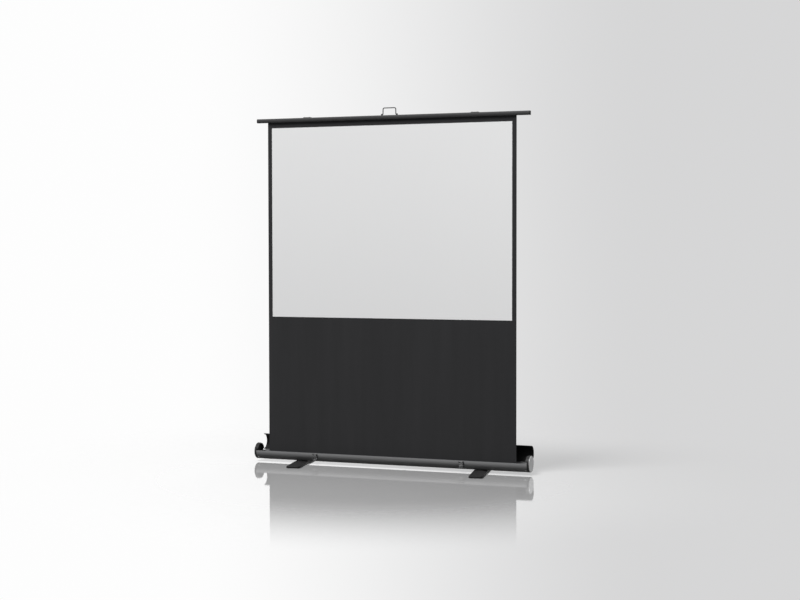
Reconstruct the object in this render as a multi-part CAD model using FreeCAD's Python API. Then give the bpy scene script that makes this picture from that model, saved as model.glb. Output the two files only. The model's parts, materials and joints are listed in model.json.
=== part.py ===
import FreeCAD, Part
import math
import os

V = FreeCAD.Vector

# Cloth: the picture area, its black surround and the height it is held at.
picture_width = 1600.0
picture_height = 1200.0
picture_bottom = 928.0
border_side = 28.0
border_top = 35.0
cloth_shift = -7.0
cloth_thickness = 0.5
coating_thickness = 0.15
turns_left = 3
turn_pitch = 0.7

# Case: a round extrusion in two halves between two end caps.
end_room = 72.0
case_radius = 50.5
case_wall = 2.2
case_lift = 14.0
front_edge_rise = 6.5
rear_edge_drop = 0.5
edge_bead = 2.4
web_rise = 9.0
web_thickness = 2.0
cap_rim = 15.0
cap_wall = 4.0
cap_shell = 3.0
end_plate_thickness = 2.0
end_plate_inset = 1.6
spigot_length = 22.0
spigot_rise = 18.0
crown_length = 9.0
crown_margin = 12.0
cap_screw = 1.75
cap_screw_head = 3.4
cap_screw_head_thickness = 1.8
lid_open_angle = 90.0
lid_end_gap = 0.6
spigot_web_angle = 3.0
cap_screw_angle = 10.0
web_lap = 0.4
web_sink = 0.5
trough_bead_angle = 3.0
lid_bead_angle = 4.0
lid_edge_angle = 0.4
cap_round = 1.5
end_plate_round = 0.8

# Feet: flat bars that swivel on a bolt under the case.
foot_inset = 304.0
foot_turn = 11.2
foot_length = 540.0
foot_width = 86.0
foot_corner = 16.0
foot_edge_round = 3.0
foot_case_gap = 1.0
pad_thickness = 2.0
pad_length = 40.0
pad_inset = 8.0
pad_corner = 6.0
boss_radius = 30.0
bolt_radius = 4.0
bolt_head = 7.6
bolt_head_thickness = 3.4
bolt_recess = 0.5
nut_plate_length = 40.0
nut_plate_width = 20.0

# Spring roller in the front half of the trough.
roller_y = -14.0
roller_drop = 14.5
roller_radius = 16.0
roller_wall = 1.5
roller_overhang = 17.0
plug_flange = 3.0
plug_depth = 25.0
stub_radius = 4.0
arbor_radius = 5.0
arbor_spare = 74.0
arbor_tail = 6.0
arbor_tail_length = 8.0
spring_radius = 9.0
spring_wire = 1.1
spring_pitch = 18.0
spring_turns = 22
spring_anchor = 8.0
bracket_sheet = 3.0
bracket_head = 9.0
bracket_width = 21.0
bracket_foot = 24.0
bracket_play = 1.0
screw_radius = 1.5
screw_head = 3.2
screw_head_thickness = 2.0

# Scissor lift: two layers of flat arms behind the cloth.
stages = 3
pivot_inset = 270.0
base_pivot_rise = 22.0
arm_width = 16.0
arm_thickness = 3.0
arm_gap = 1.0
fold_pitch = 18.0
pin_radius = 3.0
pin_head = 5.5
pin_head_thickness = 1.5
pin_shoulder = 5.0
washer_radius = 7.0
slide_radius = 5.0
slide_width = 4.4
slide_end_play = 0.5
rail_wall = 2.0
rail_before = 25.0
rail_after = 40.0
rail_screw_inset = 15.0
pivot_plate = 2.5
pivot_plate_width = 40.0
pivot_screw_reach = 13.0
flange_reach = 5.0
layer_play = 0.4
rail_play = 0.8

# Top bar with its rear slot, hem groove and bail.
bar_end_gap = 9.0
bar_height = 25.0
bar_depth = 22.0
bar_crown = 4.0
bar_plug = 6.0
bar_pivot_rise = 14.0
bar_wall = 3.0
bar_rear_round = 2.0
bar_plug_spigot = 14.0
slot_lip = 1.8
hem_setback = 7.55
hem_rise = 4.5
hem_slot = 1.8
hem_rod_radius = 2.2
saddle_width = 50.0
saddle_thickness = 3.0
saddle_screw_reach = 17.0
stop_pin = 2.5
bail_width = 86.0
bail_top_width = 84.0
bail_height = 48.0
bail_wire = 3.0
bail_corner = 9.0
bail_bend = 3.4
bail_pivot_rise = 4.8
bail_side_gap = 0.6
ear_width = 7.0
ear_radius = 4.6

# Lid hinges and draw latches.
hinge_inset = 65.0
hinge_length = 100.0
hinge_offset = 3.6
hinge_barrel = 3.2
hinge_pin = 1.5
hinge_leaf = 1.5
hinge_neck = 5.0
hinge_spread = 20.0
hinge_edge_angle = 1.0
hinge_pin_overhang = 0.5
keeper_low_angle = 16.0
keeper_high_angle = 2.0
keeper_ledge_angles = (9.0, 7.0)
keeper_lip_angles = (12.0, 8.0)
keeper_reach = 9.0
keeper_lip = 2.0
keeper_side = 2.0
latch_inset = 414.0
latch_width = 30.0
latch_sheet = 2.0
latch_ear = 3.5
latch_pin = 1.5
latch_pin_overhang = 0.5
latch_plate_angles = (177.0, 216.0)
latch_stand = 6.5
lever_width = 20.0
lever_stand = 5.0
lever_barrel = 3.0
lever_lip = 4.0
loop_wire = 1.2
loop_stand = 9.5
loop_bend = 3.0
lug_radius = 2.7
lug_width = 3.0
lug_reach = 5.5
loop_width = 24.0
loop_length = 26.0

# Clearances.
run_fit = 0.06
slide_fit = 0.3
side_gap = 0.12
loose_pin = 0.3
screw_fit = 0.1

# How far a cut runs past a face, and how near an edge lies to the face it is picked by.
cut_past = 1.0
screw_cut = 10.0
edge_pick = 0.01

# Derived places.
axis_z = case_lift + case_radius
inner_radius = case_radius - case_wall
web_top = case_lift + web_rise
bar_bottom = picture_bottom + picture_height + border_top
bar_top = bar_bottom + bar_height
roller_z = axis_z - roller_drop
cloth_half = picture_width / 2 + border_side
roller_half = cloth_half + roller_overhang
case_length = 2 * (roller_half + end_room)
trough_half = case_length / 2 - cap_rim
bar_length = case_length - 2 * bar_end_gap
half_span = cloth_half - pivot_inset
right_foot_x = trough_half - foot_inset
left_foot_x = -right_foot_x
latch_x = trough_half - latch_inset
hinge_outer = trough_half - hinge_inset
hinge_places = (-hinge_outer, -hinge_outer / 3, hinge_outer / 3, hinge_outer)
arbor_length = spring_turns * spring_pitch + arbor_spare
wrap_start = roller_radius + cloth_thickness / 2
cloth_y = roller_y + wrap_start + turns_left * turn_pitch
bar_rear = cloth_y + hem_setback
bar_front = bar_rear - bar_depth
bar_mid = (bar_front + bar_rear) / 2
layer_a = bar_rear + layer_play + pin_head_thickness + side_gap
layer_b = layer_a + arm_thickness + arm_gap
layer_end = layer_b + arm_thickness
base_pivot_z = case_lift + base_pivot_rise
top_pivot_z = bar_bottom + bar_pivot_rise
stage_rise = (top_pivot_z - base_pivot_z) / stages
arm_length = math.hypot(2 * half_span, stage_rise)
arm_angle = math.degrees(math.atan2(stage_rise, 2 * half_span))
folded_angle = math.degrees(math.asin(fold_pitch / arm_length))
folded_span = math.sqrt(arm_length ** 2 - fold_pitch ** 2)
bail_pivot_z = bar_top + bail_pivot_rise
front_angle = 180 - math.degrees(math.asin(front_edge_rise / case_radius))
rear_angle = -math.degrees(math.asin(rear_edge_drop / case_radius))
foot_top = case_lift - foot_case_gap
slot_depth = slide_width + 2 * slide_end_play
rail_front = layer_end + rail_play


def on_case(radius, angle):
    a = math.radians(angle)
    return (radius * math.cos(a), axis_z + radius * math.sin(a))


hinge_y, hinge_z = on_case(case_radius + hinge_offset, rear_angle)
latch_pivot = on_case(case_radius + latch_stand, 180)
loop_pivot = on_case(case_radius + loop_stand, 190)


def box(x0, x1, y0, y1, z0, z1):
    return Part.makeBox(x1 - x0, y1 - y0, z1 - z0, V(x0, y0, z0))


def rod_x(r, x0, x1, y, z):
    return Part.makeCylinder(r, x1 - x0, V(x0, y, z), V(1, 0, 0))


def rod_y(r, y0, y1, x, z):
    return Part.makeCylinder(r, y1 - y0, V(x, y0, z), V(0, 1, 0))


def rod_z(r, z0, z1, x, y):
    return Part.makeCylinder(r, z1 - z0, V(x, y, z0), V(0, 0, 1))


def join(first, *others):
    return first.fuse(list(others)).removeSplitter()


def group(shapes):
    return Part.makeCompound(list(shapes))


def outline(start, steps, put):
    """A closed wire: a step is a point for a line, or a middle and an end point for an arc."""
    edges = []
    here = start
    for step in list(steps) + [start]:
        if isinstance(step[0], tuple):
            edges.append(Part.Arc(put(here), put(step[0]), put(step[1])).toShape())
            here = step[1]
        elif math.dist(here, step) > 1e-6:
            edges.append(Part.LineSegment(put(here), put(step)).toShape())
            here = step
    return Part.Wire(edges)


def along_x(start, steps, x0, x1):
    wire = outline(start, steps, lambda p: V(x0, p[0], p[1]))
    return Part.Face(wire).extrude(V(x1 - x0, 0, 0))


def ring(r0, r1, a0, a1, x0, x1):
    middle = (a0 + a1) / 2
    steps = [
        (on_case(r1, middle), on_case(r1, a1)),
        on_case(r0, a1),
        (on_case(r0, middle), on_case(r0, a0)),
    ]
    return along_x(on_case(r1, a0), steps, x0, x1)


def mirrored(shape):
    return shape.mirror(V(0, 0, 0), V(1, 0, 0))


def turned_open(shape):
    shape.rotate(V(0, hinge_y, hinge_z), V(-1, 0, 0), lid_open_angle)
    return shape


# Case.


def foot_places():
    return (left_foot_x, right_foot_x)


def spigot_spans():
    """The spigot's two arcs, between the case's edges and the flat web."""
    web = math.degrees(math.asin((axis_z - web_top) / inner_radius)) - spigot_web_angle
    return ((180 + spigot_rise, 180 + web), (360 - web, 360 - spigot_rise))


def cap_screw_places():
    x = trough_half - spigot_length / 2
    turn = cap_screw_angle
    angles = [end - turn if end < 270 else start + turn for start, end in spigot_spans()]
    return [(side * x, angle) for side in (-1, 1) for angle in angles]


def radial_rod(r, r0, r1, angle, x):
    y, z = on_case(r0, angle)
    a = math.radians(angle)
    return Part.makeCylinder(r, r1 - r0, V(x, y, z), V(0, math.cos(a), math.sin(a)))


def case_trough():
    body = ring(inner_radius, case_radius, front_angle, 360 + rear_angle, -trough_half, trough_half)
    drop = axis_z - web_top
    reach = math.sqrt(inner_radius ** 2 - drop ** 2) + web_lap
    web = box(-trough_half, trough_half, -reach, reach, web_top - web_thickness, web_top)
    web = web.common(rod_x(inner_radius + web_sink, -trough_half, trough_half, 0, axis_z))
    y, z = on_case(inner_radius - edge_bead / 2, front_angle + trough_bead_angle)
    bead = rod_x(edge_bead, -trough_half, trough_half, y, z)
    body = join(body, web, bead)
    for x in foot_places():
        body = body.cut(rod_z(bolt_radius + screw_fit, 0, web_top - web_thickness, x, 0))
    low, high = inner_radius - cut_past, case_radius + cut_past
    for x, angle in cap_screw_places():
        body = body.cut(radial_rod(cap_screw + screw_fit, low, high, angle, x))
    low, high = web_top - web_thickness - cut_past, web_top + cut_past
    for x, y in bracket_screw_places():
        body = body.cut(rod_z(screw_radius + screw_fit, low, high, x, y))
    return body


def right_end_cap():
    end = case_length / 2 - end_plate_thickness
    rim = rod_x(case_radius, trough_half, end, 0, axis_z)
    rim = rim.cut(rod_x(case_radius - cap_shell, trough_half, end - cap_wall, 0, axis_z))
    rim = rim.makeFillet(cap_round, [e for e in rim.Edges if e.BoundBox.XMin > end - edge_pick])
    outer = inner_radius - screw_fit
    inner = outer - cap_shell
    start = trough_half - spigot_length
    arcs = [ring(inner, outer, a, b, start, trough_half + 2) for a, b in spigot_spans()]
    low, high = rear_angle + crown_margin, front_angle - crown_margin
    crown = ring(inner, outer, low, high, trough_half - crown_length, trough_half + 2)
    cap = join(rim, crown, *arcs)
    for x, angle in cap_screw_places():
        cap = cap.cut(radial_rod(cap_screw + screw_fit, inner - cut_past, outer + cut_past, angle, x))
    return cap


def end_plates():
    end = case_length / 2
    plate = rod_x(case_radius - end_plate_inset, end - end_plate_thickness, end, 0, axis_z)
    outer = [e for e in plate.Edges if e.BoundBox.XMin > end - edge_pick]
    plate = plate.makeFillet(end_plate_round, outer)
    return group([plate, mirrored(plate)])


def end_cap_screws():
    screws = []
    for x, angle in cap_screw_places():
        shank = radial_rod(cap_screw, inner_radius - cap_shell, case_radius, angle, x)
        outside = case_radius + cap_screw_head_thickness
        screws.append(join(shank, radial_rod(cap_screw_head, case_radius, outside, angle, x)))
    return group(screws)


# Feet.


def swivelled(shape, x):
    shape.rotate(V(x, 0, 0), V(0, 0, 1), foot_turn)
    return shape


def foot(x):
    half = foot_width / 2
    end = foot_length / 2
    c = foot_corner
    k = c * (1 - math.sqrt(0.5))
    steps = [
        (half, end - c),
        ((half - k, end - k), (half - c, end)),
        (-half + c, end),
        ((-half + k, end - k), (-half, end - c)),
        (-half, -end + c),
        ((-half + k, -end + k), (-half + c, -end)),
        (half - c, -end),
        ((half - k, -end + k), (half, -end + c)),
    ]
    wire = outline((half, -end + c), steps, lambda p: V(x + p[0], p[1], pad_thickness))
    plate = Part.Face(wire).extrude(V(0, 0, foot_top - pad_thickness))
    rim = [e for e in plate.Edges if e.BoundBox.ZMin > foot_top - edge_pick]
    plate = plate.makeFillet(foot_edge_round, rim)
    plate = plate.cut(rod_z(bolt_radius + run_fit, 0, foot_top + 1, x, 0))
    return swivelled(plate.cut(rod_z(bolt_head + 1, 0, bolt_seat(), x, 0)), x)


def bolt_seat():
    return pad_thickness + bolt_recess + bolt_head_thickness


def foot_pads(x):
    pads = []
    for side in (-1, 1):
        middle = side * (foot_length / 2 - pad_length / 2 - foot_corner)
        pad = box(
            x - foot_width / 2 + pad_inset,
            x + foot_width / 2 - pad_inset,
            middle - pad_length / 2,
            middle + pad_length / 2,
            0,
            pad_thickness,
        )
        corners = [e for e in pad.Edges if e.BoundBox.ZLength > pad_thickness - edge_pick]
        pads.append(swivelled(pad.makeFillet(pad_corner, corners), x))
    return group(pads)


def foot_bosses():
    bosses = []
    for x in foot_places():
        boss = rod_z(boss_radius, foot_top + side_gap, axis_z - case_radius / 2, x, 0)
        boss = boss.cut(rod_x(case_radius, x - boss_radius, x + boss_radius, 0, axis_z))
        bosses.append(boss.cut(rod_z(bolt_radius + screw_fit, 0, axis_z, x, 0)))
    return group(bosses)


def foot_bolts():
    bolts = []
    bottom = pad_thickness + bolt_recess
    for x in foot_places():
        head = rod_z(bolt_head, bottom, bolt_seat() - side_gap, x, 0)
        shank = rod_z(bolt_radius, bottom, web_top - web_thickness - slide_fit, x, 0)
        bolts.append(join(head, shank))
    return group(bolts)


def foot_nut_plates():
    plates = []
    half_x = nut_plate_length / 2
    half_y = nut_plate_width / 2
    bottom = axis_z - math.sqrt(inner_radius ** 2 - half_y ** 2)
    for x in foot_places():
        plate = box(x - half_x, x + half_x, -half_y, half_y, bottom, web_top - web_thickness)
        plates.append(plate.cut(rod_z(bolt_radius, 0, axis_z, x, 0)))
    return group(plates)


# Spring roller.


def bracket_x():
    return roller_half + plug_flange + bracket_play


def roller_screw_places():
    x = bracket_x() + (bracket_sheet + bracket_foot) / 2
    return [(side * x, roller_y + dy) for side in (-1, 1) for dy in (-4, 7)]


def base_screw_places():
    pivots = [-half_span - pivot_screw_reach, -half_span + pivot_screw_reach]
    return [(x, layer_a) for x in pivots + rail_screws()]


def bracket_screw_places():
    return roller_screw_places() + base_screw_places()


def roller_bracket(side):
    x0 = bracket_x()
    y0 = roller_y - bracket_head
    y1 = y0 + bracket_width
    plate = box(x0, x0 + bracket_sheet, y0, y1, web_top, roller_z)
    head = rod_x(bracket_head, x0, x0 + bracket_sheet, roller_y, roller_z)
    flange = box(x0, x0 + bracket_foot, y0, y1, web_top, web_top + bracket_sheet)
    body = join(plate, head, flange)
    if side < 0:
        half = arbor_tail / 2 + screw_fit
        hole = box(x0 - 1, x0 + 9, roller_y - half, roller_y + half, roller_z - half, roller_z + half)
        body = mirrored(body.cut(hole))
    else:
        body = body.cut(rod_x(stub_radius + run_fit, x0 - 1, x0 + 9, roller_y, roller_z))
    for x, y in roller_screw_places():
        body = body.cut(rod_z(screw_radius + screw_fit, web_top, web_top + screw_cut, x, y))
    return body


def case_screws():
    screws = []
    for x, y in bracket_screw_places():
        seat = web_top + bracket_sheet
        shank = rod_z(screw_radius, web_top - web_thickness, seat, x, y)
        screws.append(join(shank, rod_z(screw_head, seat, seat + screw_head_thickness, x, y)))
    return group(screws)


def roller_tube():
    tube = rod_x(roller_radius, -roller_half, roller_half, roller_y, roller_z)
    return tube.cut(rod_x(roller_radius - roller_wall, -roller_half, roller_half, roller_y, roller_z))


def roller_rod(r, x0, x1):
    return rod_x(r, x0, x1, roller_y, roller_z)


def left_roller_plug():
    start = -roller_half - plug_flange
    end = -roller_half + plug_depth
    flange = roller_rod(roller_radius, start, -roller_half)
    body = roller_rod(roller_radius - roller_wall, -roller_half, end)
    return join(flange, body).cut(roller_rod(arbor_radius + run_fit, start, end))


def right_roller_plug():
    face = roller_half + plug_flange
    flange = roller_rod(roller_radius, roller_half, face)
    body = roller_rod(roller_radius - roller_wall, roller_half - plug_depth, roller_half)
    stub = roller_rod(stub_radius, face, bracket_x() + bracket_sheet + 3)
    return join(flange, body, stub)


def roller_arbor():
    start = -bracket_x() + slide_fit
    end = start + arbor_length
    half = arbor_tail / 2
    y0, y1 = roller_y - half, roller_y + half
    tail = box(start - arbor_tail_length, start, y0, y1, roller_z - half, roller_z + half)
    anchor = roller_rod(spring_radius + spring_wire, end - spring_anchor, end)
    return join(roller_rod(arbor_radius, start, end), tail, anchor)


def roller_spring():
    start = -roller_half + plug_depth + spring_wire + slide_fit
    path = Part.makeHelix(spring_pitch, spring_pitch * spring_turns, spring_radius)
    first = path.Edges[0]
    place = first.valueAt(first.FirstParameter)
    way = first.tangentAt(first.FirstParameter)
    wire = Part.Wire([Part.makeCircle(spring_wire, place, way)])
    coil = Part.Wire(path.Edges).makePipeShell([wire], True, True)
    coil.rotate(V(0, 0, 0), V(0, 1, 0), 90)
    coil.translate(V(start, roller_y, roller_z))
    return coil


def cloth_turns():
    """The turns that stay on the roller: half circles that step out by half a pitch each."""
    half = cloth_thickness / 2
    outer = []
    inner = []
    for k in range(2 * turns_left):
        r = wrap_start + k * turn_pitch / 2
        y = roller_y + (turn_pitch / 2 if k % 2 else 0)
        way = -1 if k % 2 else 1
        for edge, radius in ((outer, r + half), (inner, r - half)):
            reach = way * radius
            edge.append(((y + reach, roller_z), (y, roller_z + reach), (y - reach, roller_z)))
    steps = [(middle, end) for _, middle, end in outer]
    steps.append(inner[-1][2])
    steps += [(middle, begin) for begin, middle, _ in reversed(inner)]
    return along_x(outer[0][0], steps, cloth_shift - cloth_half, cloth_shift + cloth_half)


def screen_sheet():
    half = cloth_thickness / 2
    top = bar_bottom + hem_rise - hem_rod_radius
    left = cloth_shift - cloth_half
    right = cloth_shift + cloth_half
    return box(left, right, cloth_y - half, cloth_y + half, roller_z + slide_fit, top)


def picture_layer():
    front = cloth_y - cloth_thickness / 2
    left = cloth_shift - picture_width / 2
    right = cloth_shift + picture_width / 2
    top = picture_bottom + picture_height
    return box(left, right, front - coating_thickness, front, picture_bottom, top)


# Scissor lift.


def column(side, level):
    return (side * half_span, base_pivot_z + level * stage_rise)


def crossing(stage):
    return (0.0, base_pivot_z + (stage + 0.5) * stage_rise)


def arm(layer, start_hole, end_hole):
    half = arm_width / 2
    steps = [
        (arm_length, -half),
        ((arm_length + half, 0.0), (arm_length, half)),
        (0.0, half),
        ((-half, 0.0), (0.0, -half)),
    ]
    wire = outline((0.0, -half), steps, lambda p: V(p[0], layer, p[1]))
    body = Part.Face(wire).extrude(V(0, arm_thickness, 0))
    holes = ((0.0, start_hole), (arm_length / 2, pin_radius + run_fit), (arm_length, end_hole))
    for x, radius in holes:
        body = body.cut(rod_y(radius, layer - 1, layer + arm_thickness + 1, x, 0))
    return body


def rising_arm(stage):
    snug = pin_radius + run_fit
    body = arm(layer_a, snug, snug)
    body.rotate(V(0, 0, 0), V(0, 1, 0), -arm_angle)
    x, z = column(-1, stage)
    body.translate(V(x, 0, z))
    return body


def falling_arm(stage):
    snug = pin_radius + run_fit
    body = arm(layer_b, snug if stage == 0 else pin_radius + loose_pin, snug)
    body.rotate(V(0, 0, 0), V(0, 1, 0), arm_angle - 180)
    x, z = column(1, stage)
    body.translate(V(x, 0, z))
    return body


def rivet(place):
    """A rivet through both layers; each head keeps a little side play."""
    x, z = place
    front = layer_a - side_gap
    rear = layer_end + side_gap
    shank = rod_y(pin_radius, front, rear, x, z)
    heads = [
        rod_y(pin_head, front - pin_head_thickness, front, x, z),
        rod_y(pin_head, rear, rear + pin_head_thickness, x, z),
    ]
    return join(shank, *heads)


def washer(place):
    x, z = place
    front = layer_a + arm_thickness
    body = rod_y(washer_radius, front, front + arm_gap - side_gap, x, z)
    return body.cut(rod_y(pin_radius + run_fit, front, front + arm_gap, x, z))


def base_slide_pin():
    x, z = column(1, 0)
    head = rod_y(pin_head, layer_b - pin_head_thickness, layer_b, x, z)
    return join(head, rod_y(pin_radius, layer_b, rail_cavity()[1] - slide_end_play, x, z))


def top_slide_pin():
    x, z = column(1, stages)
    rear = layer_a + arm_thickness
    head = rod_y(pin_head, rear, rear + pin_head_thickness, x, z)
    return join(head, rod_y(pin_radius, slot_bottom() + slide_end_play, rear, x, z))


def slide_roller(x, y, z):
    roller = rod_y(slide_radius, y, y + slide_width, x, z)
    return roller.cut(rod_y(pin_radius + run_fit, y, y + slide_width, x, z))


def base_slide_roller():
    x, z = column(1, 0)
    return slide_roller(x, rail_cavity()[0] + slide_end_play, z)


def top_slide_roller():
    x, z = column(1, stages)
    return slide_roller(x, slot_bottom() + slide_end_play, z)


def rail_cavity():
    inside = rail_front + slot_lip
    return (inside, inside + slot_depth)


def rail_ends():
    return (half_span - rail_before, folded_span - half_span + rail_after)


def rail_screws():
    start, end = rail_ends()
    return [start + rail_screw_inset, (start + end) / 2, end - rail_screw_inset]


def pin_slot():
    return pin_radius + slide_end_play


def base_slide_rail():
    x0, x1 = rail_ends()
    inside, back = rail_cavity()
    half = slide_radius + slide_fit
    z = base_pivot_z
    below = z - half - rail_wall
    body = box(x0, x1, rail_front, back + rail_wall, below, z + half + rail_wall)
    leg = box(x0, x1, rail_front, rail_front + pivot_plate, web_top, below)
    foot_y = layer_a - flange_reach
    flange = box(x0, x1, foot_y, rail_front + pivot_plate, web_top, web_top + bracket_sheet)
    body = join(body, leg, flange)
    body = body.cut(box(x0, x1, inside, back, z - half, z + half))
    body = body.cut(box(x0, x1, rail_front, inside, z - pin_slot(), z + pin_slot()))
    for x, y in base_screw_places():
        body = body.cut(rod_z(screw_radius + screw_fit, web_top, web_top + screw_cut, x, y))
    return body


def base_pivot_bracket():
    x, z = column(-1, 0)
    half = pivot_plate_width / 2
    rear = rail_front + pivot_plate
    foot_y = layer_a - flange_reach
    plate = box(x - half, x + half, rail_front, rear, web_top, z - pin_shoulder)
    neck = box(x - bracket_head, x + bracket_head, rail_front, rear, web_top, z)
    head = rod_y(bracket_head, rail_front, rear, x, z)
    flange = box(x - half, x + half, foot_y, rear, web_top, web_top + bracket_sheet)
    body = join(plate, neck, head, flange)
    body = body.cut(rod_y(pin_radius + run_fit, rail_front - 1, rear + 1, x, z))
    for sx, y in base_screw_places():
        body = body.cut(rod_z(screw_radius + screw_fit, web_top, web_top + screw_cut, sx, y))
    return body


def base_pivot_pin():
    x, z = column(-1, 0)
    front = layer_a - side_gap
    rear = rail_front + pivot_plate
    shoulder = layer_a + arm_thickness + side_gap
    parts = [
        rod_y(pin_head, front - pin_head_thickness, front, x, z),
        rod_y(pin_shoulder, shoulder, rail_front, x, z),
        rod_y(pin_head, rear, rear + pin_head_thickness, x, z),
    ]
    return join(rod_y(pin_radius, front, rear, x, z), *parts)


# Top bar.


def bar_solid(x0, x1):
    z0, z1 = bar_bottom, bar_top
    r = bar_rear_round
    k = r * (1 - math.sqrt(0.5))
    steps = [
        (bar_front + bar_crown, z0),
        ((bar_front, (z0 + z1) / 2), (bar_front + bar_crown, z1)),
        (bar_rear - r, z1),
        ((bar_rear - k, z1 - k), (bar_rear, z1 - r)),
    ]
    return along_x((bar_rear, z0), steps, x0, x1)


def bar_chamber(x0, x1, inset):
    front = bar_front + bar_crown + inset
    rear = cloth_y - hem_rod_radius - cloth_thickness - hem_slot - inset
    return box(x0, x1, front, rear, bar_bottom + bar_wall + inset, bar_top - bar_wall - inset)


def slot_bottom():
    return bar_rear - slot_lip - slot_depth


def stop_pin_place():
    x = half_span - slide_radius - stop_pin - slide_fit
    return (x, slot_bottom() + slot_depth / 2)


def top_bar_profile():
    half = bar_length / 2 - bar_plug
    z = top_pivot_z
    hem_z = bar_bottom + hem_rise
    lip = bar_rear - slot_lip
    tall = slide_radius + slide_fit
    cuts = [
        bar_chamber(-half, half, 0),
        box(-half, half, slot_bottom(), lip, z - tall, z + tall),
        box(-half, half, lip, bar_rear, z - pin_slot(), z + pin_slot()),
        rod_x(hem_rod_radius + cloth_thickness, -half, half, cloth_y, hem_z),
        box(-half, half, cloth_y - hem_slot / 2, cloth_y + hem_slot / 2, bar_bottom, hem_z),
        rod_z(stop_pin + screw_fit, z, bar_top, *stop_pin_place()),
    ]
    for x, y in bar_screw_places():
        cuts.append(rod_z(screw_radius + screw_fit, bar_top - bar_wall, bar_top, x, y))
    body = bar_solid(-half, half)
    for cut in cuts:
        body = body.cut(cut)
    return body


def bar_plugs():
    half = bar_length / 2
    head = bar_solid(half - bar_plug, half)
    head = head.makeFillet(cap_round, [e for e in head.Edges if e.BoundBox.XMin > half - edge_pick])
    spigot = bar_chamber(half - bar_plug - bar_plug_spigot, half - bar_plug + 1, screw_fit)
    plug = join(head, spigot)
    return group([plug, mirrored(plug)])


def hem_rod():
    return rod_x(hem_rod_radius, -cloth_half, cloth_half, cloth_y, bar_bottom + hem_rise)


def saddle_front():
    return bar_front + bar_crown


def bar_screw_places():
    y = saddle_front() + screw_head
    reach = (-saddle_screw_reach, saddle_screw_reach)
    return [(side * half_span + dx, y) for side in (-1, 1) for dx in reach]


def saddle_top(x, rear):
    half = saddle_width / 2
    top = bar_top + saddle_thickness
    plate = box(x - half, x + half, saddle_front(), rear, bar_top, top)
    upper = [e for e in plate.Edges if e.BoundBox.ZMin > top - edge_pick]
    ends = [e for e in upper if e.BoundBox.XLength < edge_pick]
    plate = plate.makeFillet(saddle_thickness / 2, ends)
    for sx, y in bar_screw_places():
        plate = plate.cut(rod_z(screw_radius + screw_fit, bar_top, top, sx, y))
    return plate


def left_arm_bracket():
    x, z = column(-1, stages)
    half = saddle_width / 2
    rear = bar_rear + pivot_plate
    strap = box(x - half, x + half, bar_rear, rear, z, bar_top + saddle_thickness / 2)
    head = rod_y(bracket_head, bar_rear, rear, x, z)
    body = join(saddle_top(x, rear), strap, head)
    return body.cut(rod_y(pin_radius + run_fit, bar_rear - 1, rear + 1, x, z))


def right_stop_plate():
    stop = rod_z(stop_pin, top_pivot_z - stop_pin, bar_top + saddle_thickness / 2, *stop_pin_place())
    return join(saddle_top(half_span, bar_rear - bar_rear_round), stop)


def arm_bracket_pin():
    x, z = column(-1, stages)
    rear = layer_end + side_gap
    inside = bar_rear - slot_lip
    parts = [
        rod_y(pin_shoulder, inside - pin_head_thickness, inside, x, z),
        rod_y(pin_shoulder, bar_rear + pivot_plate, layer_b - side_gap, x, z),
        rod_y(pin_head, rear, rear + pin_head_thickness, x, z),
    ]
    return join(rod_y(pin_radius, inside, rear, x, z), *parts)


def bar_screws():
    screws = []
    seat = bar_top + saddle_thickness
    for x, y in bar_screw_places():
        shank = rod_z(screw_radius, bar_top - bar_wall, seat, x, y)
        screws.append(join(shank, rod_z(screw_head, seat, seat + screw_head_thickness, x, y)))
    return group(screws)


def ear_start():
    return bail_width / 2 + bail_wire + bail_side_gap


def bail_ears():
    x0 = ear_start()
    x1 = x0 + ear_width
    z = bail_pivot_z
    front, rear = bar_mid - ear_radius, bar_mid + ear_radius
    block = box(x0, x1, front, rear, bar_top, z)
    top = rod_x(ear_radius, x0, x1, bar_mid, z).common(box(x0, x1, front, rear, bar_top, z + ear_radius))
    ear = join(block, top).cut(rod_x(bail_wire + run_fit, x0, x1, bar_mid, z))
    return group([ear, mirrored(ear)])


def rounded_path(points, radii):
    """Straight runs through the points, with an arc of the given radius at each inner point."""
    edges = []
    last = points[0]
    for before, here, after, radius in zip(points, points[1:], points[2:], radii):
        a = (before - here).normalize()
        b = (after - here).normalize()
        half = a.getAngle(b) / 2
        enter = here + a * (radius / math.tan(half))
        leave = here + b * (radius / math.tan(half))
        middle = here + (a + b).normalize() * (radius / math.sin(half) - radius)
        edges.append(Part.LineSegment(last, enter).toShape())
        edges.append(Part.Arc(enter, middle, leave).toShape())
        last = leave
    edges.append(Part.LineSegment(last, points[-1]).toShape())
    return edges


def wire_along(edges, radius):
    begin = edges[0].valueAt(edges[0].FirstParameter)
    way = edges[0].tangentAt(edges[0].FirstParameter)
    profile = Part.Wire([Part.makeCircle(radius, begin, way)])
    return Part.Wire(edges).makePipeShell([profile], True, False)


def pull_bail():
    z0 = bail_pivot_z
    z1 = bar_top + bail_height - bail_wire
    low = bail_width / 2
    top = bail_top_width / 2
    tip = ear_start() + ear_width - 1
    places = [(-tip, z0), (-low, z0), (-top, z1), (top, z1), (low, z0), (tip, z0)]
    points = [V(x, bar_mid, z) for x, z in places]
    return wire_along(rounded_path(points, (bail_bend, bail_corner, bail_corner, bail_bend)), bail_wire)


# Lid and hinges.


def lid_shell():
    half = trough_half - lid_end_gap
    low, high = rear_angle + lid_edge_angle, front_angle - lid_edge_angle
    body = ring(inner_radius, case_radius, low, high, -half, half)
    y, z = on_case(inner_radius - edge_bead / 2, front_angle - lid_bead_angle)
    return turned_open(join(body, rod_x(edge_bead, -half, half, y, z)))


def barrel(x0, x1):
    return rod_x(hinge_barrel, x0, x1, hinge_y, hinge_z)


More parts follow.
